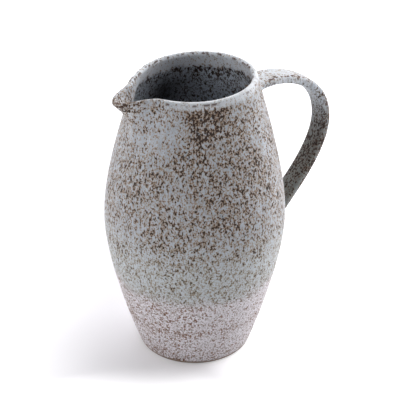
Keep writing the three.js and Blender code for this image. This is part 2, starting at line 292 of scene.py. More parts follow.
def claySection():
    deep = wall["glaze"] + wall["clayClear"]
    bevel = wall["footBevel"]
    flat = wall["footRadius"] - bevel
    swing = radiusAt(bevel) - wall["glaze"] - flat
    points = [roundPoint(flat * share, 0) for share in (0, 0.5, 1)]
    for t in np.linspace(0, math.pi / 2, 7)[1:]:  # rounded foot
        points.append(roundPoint(flat + swing * math.sin(t), bevel * (1 - math.cos(t))))
    points += pointsAlong(outerPoint, bevel + wall["bevelStep"], backTop, count=60, depth=deep)
    points += pointsAlong(rimPoint, 0, math.pi, count=9, depth=deep)
    points += pointsAlong(innerPoint, backTop, cornerTop, count=40, depth=deep)
    points += pointsAlong(cornerPoint, 0, math.pi / 2, count=8, depth=deep)[1:]
    points += [floorPoint(share, deep) for share in (0.5, 0)]
    return points, False


wallLengths = ("height", "mouthHeight", "lean", "fall", "wobble", "rings",
               "spoutReach", "pinch", "tipDrop", "lift")
wallAngles = ("pinchAngle", "pinchSpread", "tipDropSpread", "liftAngle", "liftSpread")


def choose(tree, test, whenTrue, whenFalse):
    node = addNode(tree, "GeometryNodeSwitch", {"input_type": "FLOAT"})
    for socket, value in zip(node.inputs, (test, whenFalse, whenTrue)):
        setInput(tree, socket, value)
    return node.outputs[0]


def less(tree, a, b):
    node = addNode(tree, "FunctionNodeCompare", {"data_type": "FLOAT", "operation": "LESS_THAN"})
    setInput(tree, node.inputs[0], a)
    setInput(tree, node.inputs[1], b)
    return node.outputs[0]


def teardrop(tree, aside, dist, pull, tip):  # round wall, straight flanks tangent to it, small round tip
    calc = maths(tree)
    centre = calc("SUBTRACT", calc("ADD", dist, pull), tip)
    flank = calc("ARCCOSINE", calc("MINIMUM", calc("DIVIDE", calc("SUBTRACT", dist, tip), centre), 1.0))
    tipEnd = calc("ARCTAN2", calc("MULTIPLY", tip, calc("SINE", flank)),
                  calc("ADD", centre, calc("MULTIPLY", tip, calc("COSINE", flank))))
    straight = calc("DIVIDE", dist, calc("COSINE", calc("SUBTRACT", flank, aside)))
    across = calc("MULTIPLY", centre, calc("SINE", aside))
    left = calc("SUBTRACT", calc("MULTIPLY", tip, tip), calc("MULTIPLY", across, across))
    bow = calc("SQRT", calc("MAXIMUM", left, 0.0))
    rounded = calc("ADD", calc("MULTIPLY", centre, calc("COSINE", aside)), bow)
    nearTip = choose(tree, less(tree, aside, tipEnd), rounded, straight)
    pulled = choose(tree, less(tree, aside, flank), nearTip, dist)
    return choose(tree, less(tree, pull, wall["noPull"] * mm), dist, pulled)


def throwTree():
    tree, given, result = newGroup("throwWall", "GeometryNodeTree", [
        ("section", "NodeSocketGeometry"), ("steps", "NodeSocketInt"), ("material", "NodeSocketMaterial"),
        *floatSockets(wallLengths + wallAngles + ("squeezeShare",))], [("wall", "NodeSocketGeometry")])
    calc = maths(tree)
    section = addNode(tree, "GeometryNodeMeshToCurve", Mesh=given["section"]).outputs[0]
    wheel = addNode(tree, "GeometryNodeCurvePrimitiveCircle", Resolution=given["steps"]).outputs[0]
    index = tree.nodes.new("GeometryNodeInputIndex").outputs[0]
    even = calc("DIVIDE", calc("MULTIPLY", index, 2 * math.pi), given["steps"])
    crowded = calc("SUBTRACT", even, calc("MULTIPLY", calc("SINE", even), wall["tipCrowding"]))
    wheel = keep(tree, wheel, "turn", crowded)
    shell = addNode(tree, "GeometryNodeCurveToMesh", Curve=wheel, Profile_Curve=section).outputs[0]

    dist, high, pull, tip, turn = (stored(tree, name) for name in ("dist", "high", "pull", "tip", "turn"))
    sine, cosine = calc("SINE", turn), calc("COSINE", turn)
    fromTip = calc("ARCTAN2", sine, cosine)
    aside = calc("ABSOLUTE", fromTip)

    def swelling(angle, middle, spread):  # smooth bump of height 1, in degrees
        off = calc("DIVIDE", calc("SUBTRACT", calc("MULTIPLY", angle, 180 / math.pi), middle), spread)
        return calc("EXPONENT", calc("MULTIPLY", calc("MULTIPLY", off, off), -1.0))

    def pressing(kind):  # noise laid round the wall, the same on every skin
        around = wall[kind + "Around"]
        swing = calc("MULTIPLY", given[kind], 2.0)
        spot = addNode(tree, "ShaderNodeCombineXYZ", X=calc("MULTIPLY", cosine, around),
                       Y=calc("MULTIPLY", sine, around), Z=calc("MULTIPLY", high, wall[kind + "Up"]))
        noise = addNode(tree, "ShaderNodeTexNoise", Vector=spot.outputs[0], Detail=1.0,
                        Scale=wall[kind + "Scale"])
        return calc("MULTIPLY", calc("SUBTRACT", noise.outputs[0], wall["noiseTop"]), swing)

    pinched = calc("MULTIPLY", given["pinch"], swelling(aside, given["pinchAngle"], given["pinchSpread"]))
    reach = calc("SUBTRACT", teardrop(tree, aside, dist, pull, tip),
                 calc("MULTIPLY", pinched, calc("DIVIDE", pull, given["spoutReach"])))
    offAxis = calc("MULTIPLY", dist, wall["axisFade"], clamp=True)
    reach = calc("ADD", reach, calc("MULTIPLY", calc("ADD", pressing("wobble"), pressing("rings")), offAxis))

    mouth = ramp(tree, high, calc("SUBTRACT", given["height"], given["mouthHeight"]), given["height"])
    rise = calc("DIVIDE", high, given["height"])
    lean = calc("MULTIPLY", given["lean"], calc("MULTIPLY", rise, rise))
    x = calc("SUBTRACT", lean, calc("MULTIPLY", reach, cosine))
    y = calc("MULTIPLY", calc("MULTIPLY", reach, sine),
             calc("SUBTRACT", calc("MULTIPLY", mouth, given["squeezeShare"]), 1.0))
    fall = calc("MULTIPLY", given["fall"], calc("MULTIPLY", calc("ADD", cosine, 1.0), 0.5))
    drop = calc("MULTIPLY", given["tipDrop"], swelling(aside, 0.0, given["tipDropSpread"]))
    lift = calc("MULTIPLY", given["lift"], swelling(fromTip, given["liftAngle"], given["liftSpread"]))
    z = calc("SUBTRACT", high, calc("MULTIPLY", calc("SUBTRACT", calc("ADD", fall, drop), lift), mouth))
    spot = addNode(tree, "ShaderNodeCombineXYZ", X=x, Y=y, Z=z).outputs[0]
    placed = addNode(tree, "GeometryNodeSetPosition", Geometry=shell, Position=spot).outputs[0]
    merged = addNode(tree, "GeometryNodeMergeByDistance", Geometry=placed, Distance=wall["weld"] * mm)
    setInput(tree, result["wall"], finishTree(tree, merged.outputs[0], given["material"]))
    return tree


def meshFrom(name, points, edges=(), faces=()):
    mesh = bpy.data.meshes.new(name)
    mesh.from_pydata([tuple(p) for p in points], list(edges), list(faces))
    return mesh


def setAttribute(mesh, label, values):
    mesh.attributes.new(label, "FLOAT", "POINT").data.foreach_set("value", values)


def dropAttributes(mesh, labels):
    for label in labels:
        if label in mesh.attributes:
            mesh.attributes.remove(mesh.attributes[label])


def nodesToMesh(name, mesh, tree, values):  # runs a node tree on a mesh and keeps the plain result
    source = bpy.data.objects.new(name + "Source", mesh)
    scene.collection.objects.link(source)
    modifier = source.modifiers.new("rule", "NODES")
    modifier.node_group = tree
    for item in tree.interface.items_tree:
        if item.in_out == "INPUT" and item.name in values:
            modifier[item.identifier] = values[item.name]
    bpy.context.view_layer.update()
    made = bpy.data.meshes.new_from_object(source.evaluated_get(bpy.context.evaluated_depsgraph_get()))
    source.modifiers.remove(modifier)
    bpy.data.objects.remove(source)
    made.name = name
    return made


sharpTurn = math.radians(50)  # faces that meet at more than this keep a crisp edge


def faceOutward(mesh):
    mesh.calc_loop_triangles()
    co = np.array([v.co for v in mesh.vertices])
    tri = np.array([t.vertices for t in mesh.loop_triangles])
    volume = np.einsum("ij,ij->i", co[tri[:, 0]], np.cross(co[tri[:, 1]], co[tri[:, 2]])).sum() / 6
    if volume < 0:
        mesh.flip_normals()
    mesh.set_sharp_from_angle(angle=sharpTurn)
    return mesh


def finishPiece(name, mesh, node):
    piece = bpy.data.objects.new(name, faceOutward(mesh))
    scene.collection.objects.link(piece)
    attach(piece, "root")
    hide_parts(node)


def throwWall(name, section, material, node):
    points, closed = section
    count = len(points)
    edges = [(i, i + 1) for i in range(count - 1)] + ([(count - 1, 0)] if closed else [])
    mesh = meshFrom(name, [(p[0] * mm, 0, p[1] * mm) for p in points], edges)
    for i, (label, unit) in enumerate(pointFields.items()):
        setAttribute(mesh, label, [p[i] * unit for p in points])
    made = nodesToMesh(name, mesh, wallNodes, {
        **{key: wall[key] * mm for key in wallLengths}, **{key: wall[key] for key in wallAngles},
        "steps": wall["steps"], "squeezeShare": wall["squeeze"] / wall["rimRadius"], "material": material})
    dropAttributes(made, ("dist", "high", "pull", "tip", "turn"))
    finishPiece(name, made, node)


# the strap handle: a squared oval section along a path

strap = {
    "width": 15.5, "thickness": 7.1, "squareness": 3.8, "sides": 56, "steps": 150,
    "upperFlare": 8.0, "upperThinning": 2.5, "lowerFlare": 3.0,  # wider and flatter at the upper joint
    "upperFade": 5, "lowerFade": 6,  # how soon the flares die away from the joints
    "upperDrop": 20.4, "upperRun": 28.2, "upperRise": 5.1, "bendX": 120.45, "bendDrop": 45.0,
    "bendEaseAbove": 35.4, "bendEaseBelow": 29.5,
    "lowerRise": 16.0, "lowerGuideRun": 19.3, "lowerGuideRise": 20.2,
    "rootDepth": 18.0, "rootPoints": 40, "curvePoints": 200,
    "clayEnds": (14.0, 12.0), "clayGrow": -0.02, "glazeEnds": (17.0, 14.0),  # cut from the blank ends
    "cornerThin": (0.86, 0.98), "sideClean": (0.88, 0.98, 0.4), "underFace": (0.6, -0.2),
}
strapLengths = ("width", "thickness", "upperFlare", "upperThinning", "lowerFlare")


def strapLine():  # centre line in the plane of the axis and the spout, with both blank ends
    upper = wall["height"] - strap["upperDrop"]
    lower = wall["dipLine"] + strap["lowerRise"]
    bendX = strap["bendX"]
    bendZ = upper - strap["bendDrop"]
    top = np.array([leanAt(upper) + radiusAt(upper) - wall["glaze"], upper])
    low = np.array([leanAt(lower) + radiusAt(lower) - wall["glaze"], lower])
    topGuide = top + (strap["upperRun"], strap["upperRise"])
    lowGuide = low + (strap["lowerGuideRun"], strap["lowerGuideRise"])
    topEnd = top + (top - topGuide) / np.linalg.norm(top - topGuide) * strap["rootDepth"]
    lowEnd = low + (low - lowGuide) / np.linalg.norm(low - lowGuide) * strap["rootDepth"]
    aboveBend = [top, topGuide, (bendX, bendZ + strap["bendEaseAbove"]), (bendX, bendZ)]
    belowBend = [(bendX, bendZ), (bendX, bendZ - strap["bendEaseBelow"]), lowGuide, low]
    rough = np.vstack([
        np.linspace(topEnd, top, strap["rootPoints"])[:-1],
        bezier(aboveBend, strap["curvePoints"])[:-1], bezier(belowBend, strap["curvePoints"])[:-1],
        np.linspace(low, lowEnd, strap["rootPoints"])])
    gone = np.concatenate([[0], np.cumsum(np.linalg.norm(np.diff(rough, axis=0), axis=1))])
    even = np.linspace(0, gone[-1], strap["steps"])
    return np.stack([np.interp(even, gone, rough[:, 0]), np.interp(even, gone, rough[:, 1])], 1), gone[-1]


strapPath, strapLength = strapLine()


def strapAt(gone):  # the centre line at a distance from its upper blank end
    at = np.linspace(0, strapLength, len(strapPath))
    return np.array([np.interp(gone, at, strapPath[:, 0]), np.interp(gone, at, strapPath[:, 1])])


def exposedShare(gone):  # 0 at the upper joint, 1 at the lower
    return (gone - strap["rootDepth"]) / (strapLength - 2 * strap["rootDepth"])


def strapTree():
    tree, given, result = newGroup("pullStrap", "GeometryNodeTree", [
        ("path", "NodeSocketGeometry"), ("sides", "NodeSocketInt"), ("material", "NodeSocketMaterial"),
        *floatSockets(strapLengths + ("squareness", "start", "end", "grow"))],
        [("strap", "NodeSocketGeometry")])
    calc = maths(tree)
    path = addNode(tree, "GeometryNodeMeshToCurve", Mesh=given["path"]).outputs[0]
    factor = tree.nodes.new("GeometryNodeSplineParameter").outputs["Factor"]
    length = calc("SUBTRACT", given["end"], given["start"])
    exposed = calc("ADD", given["start"], calc("MULTIPLY", factor, length))
    path = keep(tree, path, "share", exposed)
    path = keep(tree, path, "spine", tree.nodes.new("GeometryNodeInputPosition").outputs[0], "FLOAT_VECTOR")
    path = keep(tree, path, "along", tree.nodes.new("GeometryNodeInputTangent").outputs[0], "FLOAT_VECTOR")
    loop = addNode(tree, "GeometryNodeCurvePrimitiveCircle", Resolution=given["sides"]).outputs[0]
    index = tree.nodes.new("GeometryNodeInputIndex").outputs[0]
    loop = keep(tree, loop, "round", calc("DIVIDE", calc("MULTIPLY", index, 2 * math.pi), given["sides"]))
    body = addNode(tree, "GeometryNodeCurveToMesh", Curve=path, Profile_Curve=loop, Fill_Caps=True)

    share, turn = stored(tree, "share"), stored(tree, "round")
    sine, cosine = calc("SINE", turn), calc("COSINE", turn)
    power = calc("DIVIDE", 2.0, given["squareness"])

    def squared(wave):
        return calc("MULTIPLY", calc("SIGN", wave), calc("POWER", calc("ABSOLUTE", wave), power))

    nearUpper = calc("POWER", calc("SUBTRACT", 1.0, share, clamp=True), strap["upperFade"])
    nearLower = calc("POWER", calc("MULTIPLY", share, 1.0, clamp=True), strap["lowerFade"])
    width = calc("MULTIPLY_ADD", given["upperFlare"], nearUpper, given["width"])
    width = calc("MULTIPLY_ADD", given["lowerFlare"], nearLower, width)
    thick = calc("SUBTRACT", given["thickness"], calc("MULTIPLY", given["upperThinning"], nearUpper))
    spread = calc("MULTIPLY", squared(cosine), calc("MULTIPLY_ADD", width, 0.5, given["grow"]))
    through = calc("MULTIPLY", squared(sine), calc("MULTIPLY_ADD", thick, 0.5, given["grow"]))
    outward = vector(tree, "CROSS_PRODUCT", stored(tree, "along", "FLOAT_VECTOR"), (0, 1, 0))
    lift = addNode(tree, "ShaderNodeVectorMath", {"operation": "SCALE"}, Vector=outward, Scale=through)
    lifted = vector(tree, "ADD", stored(tree, "spine", "FLOAT_VECTOR"), lift.outputs[0])
    spot = vector(tree, "ADD", lifted, addNode(tree, "ShaderNodeCombineXYZ", Y=spread).outputs[0])

    # the glaze is thin at the corners and clean on the narrow sides, which near the top take a painted
    # highlight
    corner = ramp(tree, calc("ABSOLUTE", calc("SINE", calc("MULTIPLY", turn, 2.0))), *strap["cornerThin"])
    cleanFrom, cleanAt, cleanGain = strap["sideClean"]
    cleanAndHighlight = calc("MULTIPLY", ramp(tree, calc("ABSOLUTE", cosine), cleanFrom, cleanAt), cleanGain)
    body = keep(tree, body.outputs[0], "thin", calc("SUBTRACT", corner, cleanAndHighlight))
    body = keep(tree, body, "under", ramp(tree, sine, *strap["underFace"]))  # the face toward the jug, which takes the painted shade lower down
    placed = addNode(tree, "GeometryNodeSetPosition", Geometry=body, Position=spot).outputs[0]
    setInput(tree, result["strap"], finishTree(tree, placed, given["material"]))
    return tree


def pullStrap(name, ends, grow, material, node):
    start, end = ends[0], strapLength - ends[1]
    spine = [strapAt(gone) for gone in np.linspace(start, end, strap["steps"])]
    edges = [(i, i + 1) for i in range(len(spine) - 1)]
    mesh = meshFrom(name, [(x * mm, 0, z * mm) for x, z in spine], edges)
    made = nodesToMesh(name, mesh, strapNodes, {
        **{key: strap[key] * mm for key in strapLengths}, "sides": strap["sides"], "grow": grow * mm,
        "squareness": strap["squareness"], "start": exposedShare(start), "end": exposedShare(end),
        "material": material})
    dropAttributes(made, ("share", "spine", "along", "round"))
    finishPiece(name, made, node)


# the slip joints: a smeared fillet from the strap on to the wall

joint = {
    "sides": 72, "rows": 9, "upperRun": 5.5, "upperFoot": 4.6, "lowerRun": 7.5, "lowerFoot": 5.0,
    "searchIn": 14.0, "searchOut": 30.0, "searchSteps": 40, "tangentStep": 0.5,
    "sink": 0.04, "bedShare": 0.97, "footBed": 0.9, "rootBed": 1.2,  # the hidden back of the fillet
    # under: how much of the strap's painted shade the slip joints take
    "rootGrow": -0.6, "strapGrow": -0.5, "thin": 0.15, "under": 0.3,
}


def strapSpot(gone, turn, grow):
    share = min(max(exposedShare(gone), 0), 1)
    spine = strapAt(gone)
    along = strapAt(gone + joint["tangentStep"]) - strapAt(gone - joint["tangentStep"])
    along /= np.linalg.norm(along)
    nearUpper, nearLower = (1 - share) ** strap["upperFade"], share ** strap["lowerFade"]
    width = strap["width"] + strap["upperFlare"] * nearUpper + strap["lowerFlare"] * nearLower
    thick = strap["thickness"] - strap["upperThinning"] * nearUpper
    power = 2 / strap["squareness"]
    c, s = math.cos(turn), math.sin(turn)
    spread = math.copysign(abs(c) ** power, c) * (width / 2 + grow)
    through = math.copysign(abs(s) ** power, s) * (thick / 2 + grow)
    return np.array([spine[0] - along[1] * through, spread, spine[1] + along[0] * through])


def onWall(point):  # a point's height on the wall and its way out from the axis, on the handle side
    height = min(max(point[2], 0), wall["height"])
    return height, np.array([point[0] - leanAt(height), point[1] / squeezeAt(height)])


def wallGap(point):  # how far a point stands off the glazed wall
    height, out = onWall(point)
    return np.linalg.norm(out) - radiusAt(height)


def ontoWall(point, depth):
    height, out = onWall(point)
    out *= (radiusAt(height) - depth) / np.linalg.norm(out)
    return np.array([leanAt(height) + out[0], out[1] * squeezeAt(height), height])


def leavesWall(turn, root, way):  # distance along the strap at which its glazed face comes out of the wall
    inside, outside = root - way * joint["searchIn"], root + way * joint["searchOut"]
    for _ in range(joint["searchSteps"]):
        middle = (inside + outside) / 2
        if wallGap(strapSpot(middle, turn, wall["glaze"])) > 0:
            outside = middle
        else:
            inside = middle
    return outside


def smearJoint(name, end, material, node):
    run, foot = joint[end + "Run"], joint[end + "Foot"]
    way, root = (1, strap["rootDepth"]) if end == "upper" else (-1, strapLength - strap["rootDepth"])
    sides = joint["sides"]
    turns = np.linspace(0, 2 * math.pi, sides, endpoint=False)
    lifts = [leavesWall(turn, root, way) for turn in turns]
    meets = np.array([strapSpot(gone, turn, wall["glaze"]) for gone, turn in zip(lifts, turns)])
    middle = meets.mean(0)
    columns = []
    for turn, gone, meet in zip(turns, lifts, meets):
        away = (meet - middle) / np.linalg.norm(meet - middle)
        begin = strapSpot(gone + way * run, turn, wall["glaze"] - joint["sink"])
        stop = ontoWall(meet + away * foot, joint["sink"])
        column = [(1 - t) ** 2 * begin + 2 * t * (1 - t) * meet + t ** 2 * stop
                  for t in np.linspace(0, 1, joint["rows"])]
        column.append(ontoWall(meet + away * foot * joint["bedShare"], joint["footBed"]))
        column.append(ontoWall(strapSpot(gone, turn, joint["rootGrow"]), joint["rootBed"]))
        column.append(strapSpot(gone + way * run * joint["bedShare"], turn, joint["strapGrow"]))
        columns.append(column)
    rows = [[k * sides + i for i in range(sides)] for k in range(len(columns[0]))]
    faces = []
    for row, above in zip(rows, rows[1:] + rows[:1]):
        faces += zip(row, row[1:] + row[:1], above[1:] + above[:1], above)
    mesh = meshFrom(name, [column[k] * mm for k in range(len(rows)) for column in columns], (), faces)
    mesh.polygons.foreach_set("use_smooth", [True] * len(mesh.polygons))
    for label in ("thin", "under"):
        setAttribute(mesh, label, [joint[label]] * len(mesh.vertices))
    mesh.materials.append(material)
    finishPiece(name, mesh, node)


# glaze and clay materials

def stretched(tree, given, size):  # coordinates in cells of a size, drawn out along the height
    calc = maths(tree)
    per = calc("DIVIDE", 1.0, given[size])
    tall = calc("DIVIDE", per, given["Stretch"])
    scale = addNode(tree, "ShaderNodeCombineXYZ", X=per, Y=per, Z=tall).outputs[0]
    return vector(tree, "MULTIPLY_ADD", given["Vector"], scale, given["Offset"])


speckShape = {"warpScale": 1.1, "warpDetail": 2.0, "growth": 1.5, "fill": 0.66}


def specksGroup():  # irregular iron specks, round or drawn out along the height
    tree, given, result = newGroup("ironSpecks", "ShaderNodeTree", [
        ("Vector", "NodeSocketVector"),
        *floatSockets(("Cell", "Stretch", "Amount", "Ragged", "Soft", "Offset"))], floatSockets(["Mask"]))
    calc = maths(tree)
    grown = stretched(tree, given, "Cell")
    warp = addNode(tree, "ShaderNodeTexNoise", Vector=grown, Scale=speckShape["warpScale"],
                   Detail=speckShape["warpDetail"]).outputs["Color"]
    push = vector(tree, "MULTIPLY", vector(tree, "SUBTRACT", warp, (0.5, 0.5, 0.5)), given["Ragged"])
    spot = vector(tree, "ADD", grown, push)
    cells = addNode(tree, "ShaderNodeTexVoronoi", {"feature": "F1"}, Vector=spot, Scale=1.0, Randomness=1.0)
    chance = addNode(tree, "ShaderNodeSeparateColor", Color=cells.outputs["Color"]).outputs[0]
    room = calc("MULTIPLY", calc("SUBTRACT", given["Amount"], chance), speckShape["growth"], clamp=True)
    size = calc("MULTIPLY", calc("SQRT", room), speckShape["fill"])
    gap = calc("SUBTRACT", size, cells.outputs["Distance"])
    setInput(tree, result["Mask"], calc("DIVIDE", gap, given["Soft"], clamp=True))
    return tree


def driftGroup():  # cloudy change of any size, drawn out along the height
    tree, given, result = newGroup("glazeDrift", "ShaderNodeTree", [
        ("Vector", "NodeSocketVector"),
        *floatSockets(("Size", "Stretch", "Detail", "Contrast", "Offset"))], floatSockets(["Value"]))
    calc = maths(tree)
    grown = stretched(tree, given, "Size")
    cloud = addNode(tree, "ShaderNodeTexNoise", Vector=grown, Scale=1.0, Detail=given["Detail"]).outputs[0]
    value = calc("MULTIPLY", calc("SUBTRACT", cloud, 0.5), given["Contrast"])
    setInput(tree, result["Value"], calc("ADD", value, 0.5, clamp=True))
    return tree


def useGroup(tree, group, **inputs):
    node = tree.nodes.new("ShaderNodeGroup")
    node.node_tree = group
    for key, value in inputs.items():
        setInput(tree, node.inputs[key], value)
    return node.outputs[0]


def useDrift(tree, coords, size, stretch, detail, contrast, offset):
    return useGroup(tree, drift, Vector=coords, Size=size * mm, Stretch=stretch, Detail=detail,
                    Contrast=contrast, Offset=offset)


def blendColor(tree, amount, a, b):
    node = addNode(tree, "ShaderNodeMix", {"data_type": "RGBA"})
    for socket, value in zip((node.inputs["Factor"], node.inputs[6], node.inputs[7]), (amount, a, b)):
        setInput(tree, socket, value)
    return node.outputs[2]


def layColors(tree, color, layers):  # each layer is how much of it shows, and its colour
    for amount, tint in layers:
        color = blendColor(tree, amount, color, tint)
    return color


shine = 0.3  # specular level of every finish


def startMaterial(name):
    material = bpy.data.materials.new(name)
    material.use_nodes = True
    tree = material.node_tree
    tree.nodes.clear()
    out = tree.nodes.new("ShaderNodeOutputMaterial")
    shader = tree.nodes.new("ShaderNodeBsdfPrincipled")
    shader.inputs["Specular IOR Level"].default_value = shine
    tree.links.new(shader.outputs[0], out.inputs["Surface"])
    coords = tree.nodes.new("ShaderNodeTexCoord").outputs["Object"]
    return material, tree, shader, coords


def setSurface(tree, shader, color, roughness, strength, distance, height):
    setInput(tree, shader.inputs["Base Color"], color)
    setInput(tree, shader.inputs["Roughness"], roughness)
    bump = addNode(tree, "ShaderNodeBump", Strength=strength, Distance=distance, Height=height)
    tree.links.new(bump.outputs[0], shader.inputs["Normal"])


glaze = {
    "upper": srgb(178, 186, 197), "upperPale": srgb(203, 209, 218), "upperGreen": srgb(208, 214, 220),
    "amber": srgb(158, 130, 98), "olive": srgb(152, 136, 110), "brown": srgb(86, 52, 27),
    "dark": srgb(30, 16, 7), "edge": srgb(72, 40, 22), "crest": srgb(240, 243, 248),
    "lower": srgb(243, 239, 246), "lowerWarm": srgb(234, 226, 230), "lowerGrain": srgb(166, 157, 157),
    "rust": srgb(138, 88, 54), "inside": srgb(196, 203, 214), "insideHalo": srgb(100, 96, 94),
    # deep: the tint of the painted shade deep inside the mouth
    # the strap's colour for its painted shade, low on its inner face
    "deep": (0.06, 0.061, 0.064), "strapPaintedShade": srgb(116, 120, 119),
    "dipHeight": 0.069, "dipSoft": 0.008, "dipWave": 0.010, "dipLace": 0.8,  # lengths in metres
    "lipBand": 0.0125, "foldBand": 0.036, "drip": 0.004, "dripOut": 0.5,
    "broadIron": 0.4, "closeIron": 0.46, "fringeIron": 0.45,
    "laceDust": 0.55, "laceBare": 0.83, "laceIron": 0.36,  # more of the lace shows where iron is thick
    "greenClear": 0.065, "insideClear": 0.05, "lipClear": 0.18, "shadeClear": -0.11,
    "dotIron": 0.9, "dotBare": 0.12, "dotDark": 0.95, "netDust": 0.5, "netBare": 0.95, "netRust": 0.64,
    "haloShade": 0.85, "greenShare": 0.85, "grainShare": 0.4, "grainGreen": 0.2, "brownGreen": 0.3,
    "lipPale": 0.7, "lipGrain": -0.75, "warmStreaks": 0.5,
    "rustStreaks": 0.16, "rustGather": 0.2, "rustClumps": 0.36,
    "crownGain": -0.8, "crestLeast": 0.35, "crestBeads": -0.7,  # the crest takes a painted highlight, with fewer beads, on the near side
    "satin": 0.6, "gloss": 0.15, "ironSatin": 0.12, "dustRelief": 0.4, "ironRelief": 0.5,
    "bump": 0.3, "bumpHeight": 0.0004,
    "dots": {"Cell": 0.0019, "Stretch": 1.4, "Ragged": 1.1, "Soft": 0.25, "Offset": 0.0},
    "beads": {"Stretch": 1.0, "Amount": 0.9, "Ragged": 1.0, "Soft": 0.2, "Offset": 31.0},
    "gathers": [  # where the iron is thick or thin: place and reach in mm, then how much
        (-20, -44, 214, 24, 0.95), (-1, -58, 190, 27, 0.25), (8, -63, 168, 27, 0.2),
        (-30, -54, 172, 33, 0.16), (-40, -33, 207, 21, -0.3), (-50, -13, 203, 33, -0.28),
        (-67, -14, 132, 30, -0.05), (-39, -57, 128, 30, 0.1), (40, 27, 212, 18, 0.3),
        (-66, -5, 223, 18, 0.5), (108, 0, 135, 39, 0.18)],
}
glazeDrifts = {  # size in mm, stretch along the height, detail, contrast and offset
    "broad": (24.0, 1.1, 2.0, 2.4, 3.1), "close": (6.5, 1.2, 2.0, 3.0, 6.4),
    "dust": (1.0, 1.3, 1.0, 2.4, 2.0), "lace": (1.8, 1.55, 2.0, 1.8, 8.3),
    "runs": (3.6, 5.0, 2.0, 2.2, 7.7), "wave": (22.0, 0.6, 2.0, 1.6, 1.3),
    "streaks": (16.0, 0.3, 2.0, 2.6, 5.2), "clumps": (6.0, 0.55, 2.0, 3.2, 14.0),
    "net": (1.6, 0.9, 2.0, 2.3, 23.0),
}
zones = {  # what is read, where the effect starts and is full (lengths in metres), and how strong it gets
    "outLip": ("lipEdge", -0.005, -0.001, 1), "pastSpout": ("across", -0.050, -0.030, 1),
    "lipFade": ("belowBand", 0.002, -0.003, 1), "insideWall": ("belowBand", -0.002, 0.002, 1),
    "fringeStart": ("belowBand", -0.001, 0.0015, 1), "fringeEnd": ("belowBand", 0.007, 0.002, 1),
    "greenBelly": ("height", 0.135, 0.090, 1), "palerTop": ("height", 0.150, 0.200, 1),
    "shadedSpecks": ("height", 0.195, 0.160, 1), "strapPaintedShadeZone": ("height", 0.195, 0.140, 1),
    "strapTopHighlight": ("height", 0.196, 0.208, 0.4), "strapTop": ("height", 0.188, 0.206, 1),
    "lowStrap": ("height", 0.190, 0.155, -0.75), "spoutTipHighlight": ("across", -0.050, -0.064, 1),
    "spoutTop": ("height", 0.206, 0.216, 0.7), "insideShadeFar": ("across", 0.042, 0.004, 1),
    "insideShadeDeep": ("below", 0.004, 0.032, 1), "insideShadePastSpout": ("across", -0.028, 0.006, 0.95),
    "grain": ("dust", 0.4, 1.0, 1), "halo": ("level", -0.38, 0.0, 0.85),
    "brown": ("level", -0.06, 0.1, 1), "core": ("level", 0.04, 0.16, 1),
    "fold": ("fromFold", 0.006, 0.001, 1), "footGather": ("height", 0.016, 0.004, 0.6),
    "spoutSide": ("across", -0.015, -0.045, 0.8), "lowerGrain": ("dust", 0.35, 0.95, 0.7),
    "netGrain": ("bared", -0.3, 0.0, 0.7), "rust": ("bared", -0.05, 0.12, 1),
    "rustCore": ("bared", 0.12, 0.3, 1),
    # nearLip and nearSide mark the near side, where the crest takes a painted highlight
    "spoutBeads": ("across", -0.052, -0.066, 0.5), "nearLip": ("across", -0.062, -0.02, 1),
    "nearSide": ("aside", 0.015, -0.012, 1), "streaky": ("runs", 0.2, 0.8, 0.6),
}
# shade: how much painted shade a coat takes low on the strap's inner face; the strap's top also takes a
# painted highlight
jugCoat = {"edgeGain": 1.0, "paler": 0.0, "shade": 0.0, "lipClear": 0.85, "beadCell": 0.0042}
strapCoat = {"edgeGain": 1.8, "paler": 0.12, "shade": 1.0, "lipClear": 0.0, "beadCell": 0.0036}


def zone(tree, at, name):
    reading, start, full, gain = zones[name]
    shown = ramp(tree, at[reading], start, full)
    return shown if gain == 1 else maths(tree)("MULTIPLY", shown, gain)


def ironAmount(tree, at, coat):  # how much iron shows at a place, 0 to 1
    calc = maths(tree)
    amount = calc("ADD", calc("MULTIPLY", at["broad"], glaze["broadIron"]),
                  calc("MULTIPLY", at["close"], glaze["closeIron"]))
    for x, y, z, reach, gain in glaze["gathers"]:
        away = vector(tree, "DISTANCE", at["coords"], (x * mm, y * mm, z * mm))
        amount = calc("ADD", amount, calc("MULTIPLY", ramp(tree, away, reach * mm, 0.0), gain))
    amount = calc("MULTIPLY", amount, 1.0, clamp=True)
    amount = calc("MULTIPLY", amount, calc("SUBTRACT", 1.0, calc("MULTIPLY", at["lip"], coat["lipClear"])))
    fringe = calc("MULTIPLY", zone(tree, at, "fringeStart"), zone(tree, at, "fringeEnd"))
    return calc("MULTIPLY_ADD", fringe, glaze["fringeIron"], amount, clamp=True)


def readGlaze(tree, coords, coat):  # what the coats go by at each place
    calc = maths(tree)
    across, aside, height = addNode(tree, "ShaderNodeSeparateXYZ", Vector=coords).outputs
    at = {"coords": coords, "across": across, "aside": aside, "height": height}
    for label in ("thin", "depth", "under"):
        at[label] = addNode(tree, "ShaderNodeAttribute", {"attribute_name": label}).outputs["Fac"]
    for label, values in glazeDrifts.items():
        at[label] = useDrift(tree, coords, *values)
    drips = calc("MULTIPLY", calc("ADD", at["wave"], at["runs"]), glaze["drip"])
    at["below"] = calc("SUBTRACT", calc("ADD", at["depth"], glaze["drip"]), drips)  # down inside the mouth
    at["belowBand"] = calc("SUBTRACT", at["below"], glaze["lipBand"])
    at["lipEdge"] = calc("MULTIPLY_ADD", drips, glaze["dripOut"], at["depth"])
    lip = calc("MULTIPLY", zone(tree, at, "outLip"), zone(tree, at, "lipFade"))
    at["lip"] = calc("MULTIPLY", lip, zone(tree, at, "pastSpout"))
    at["green"] = zone(tree, at, "greenBelly")
    at["inside"] = zone(tree, at, "insideWall")
    at["iron"] = ironAmount(tree, at, coat)
    return at


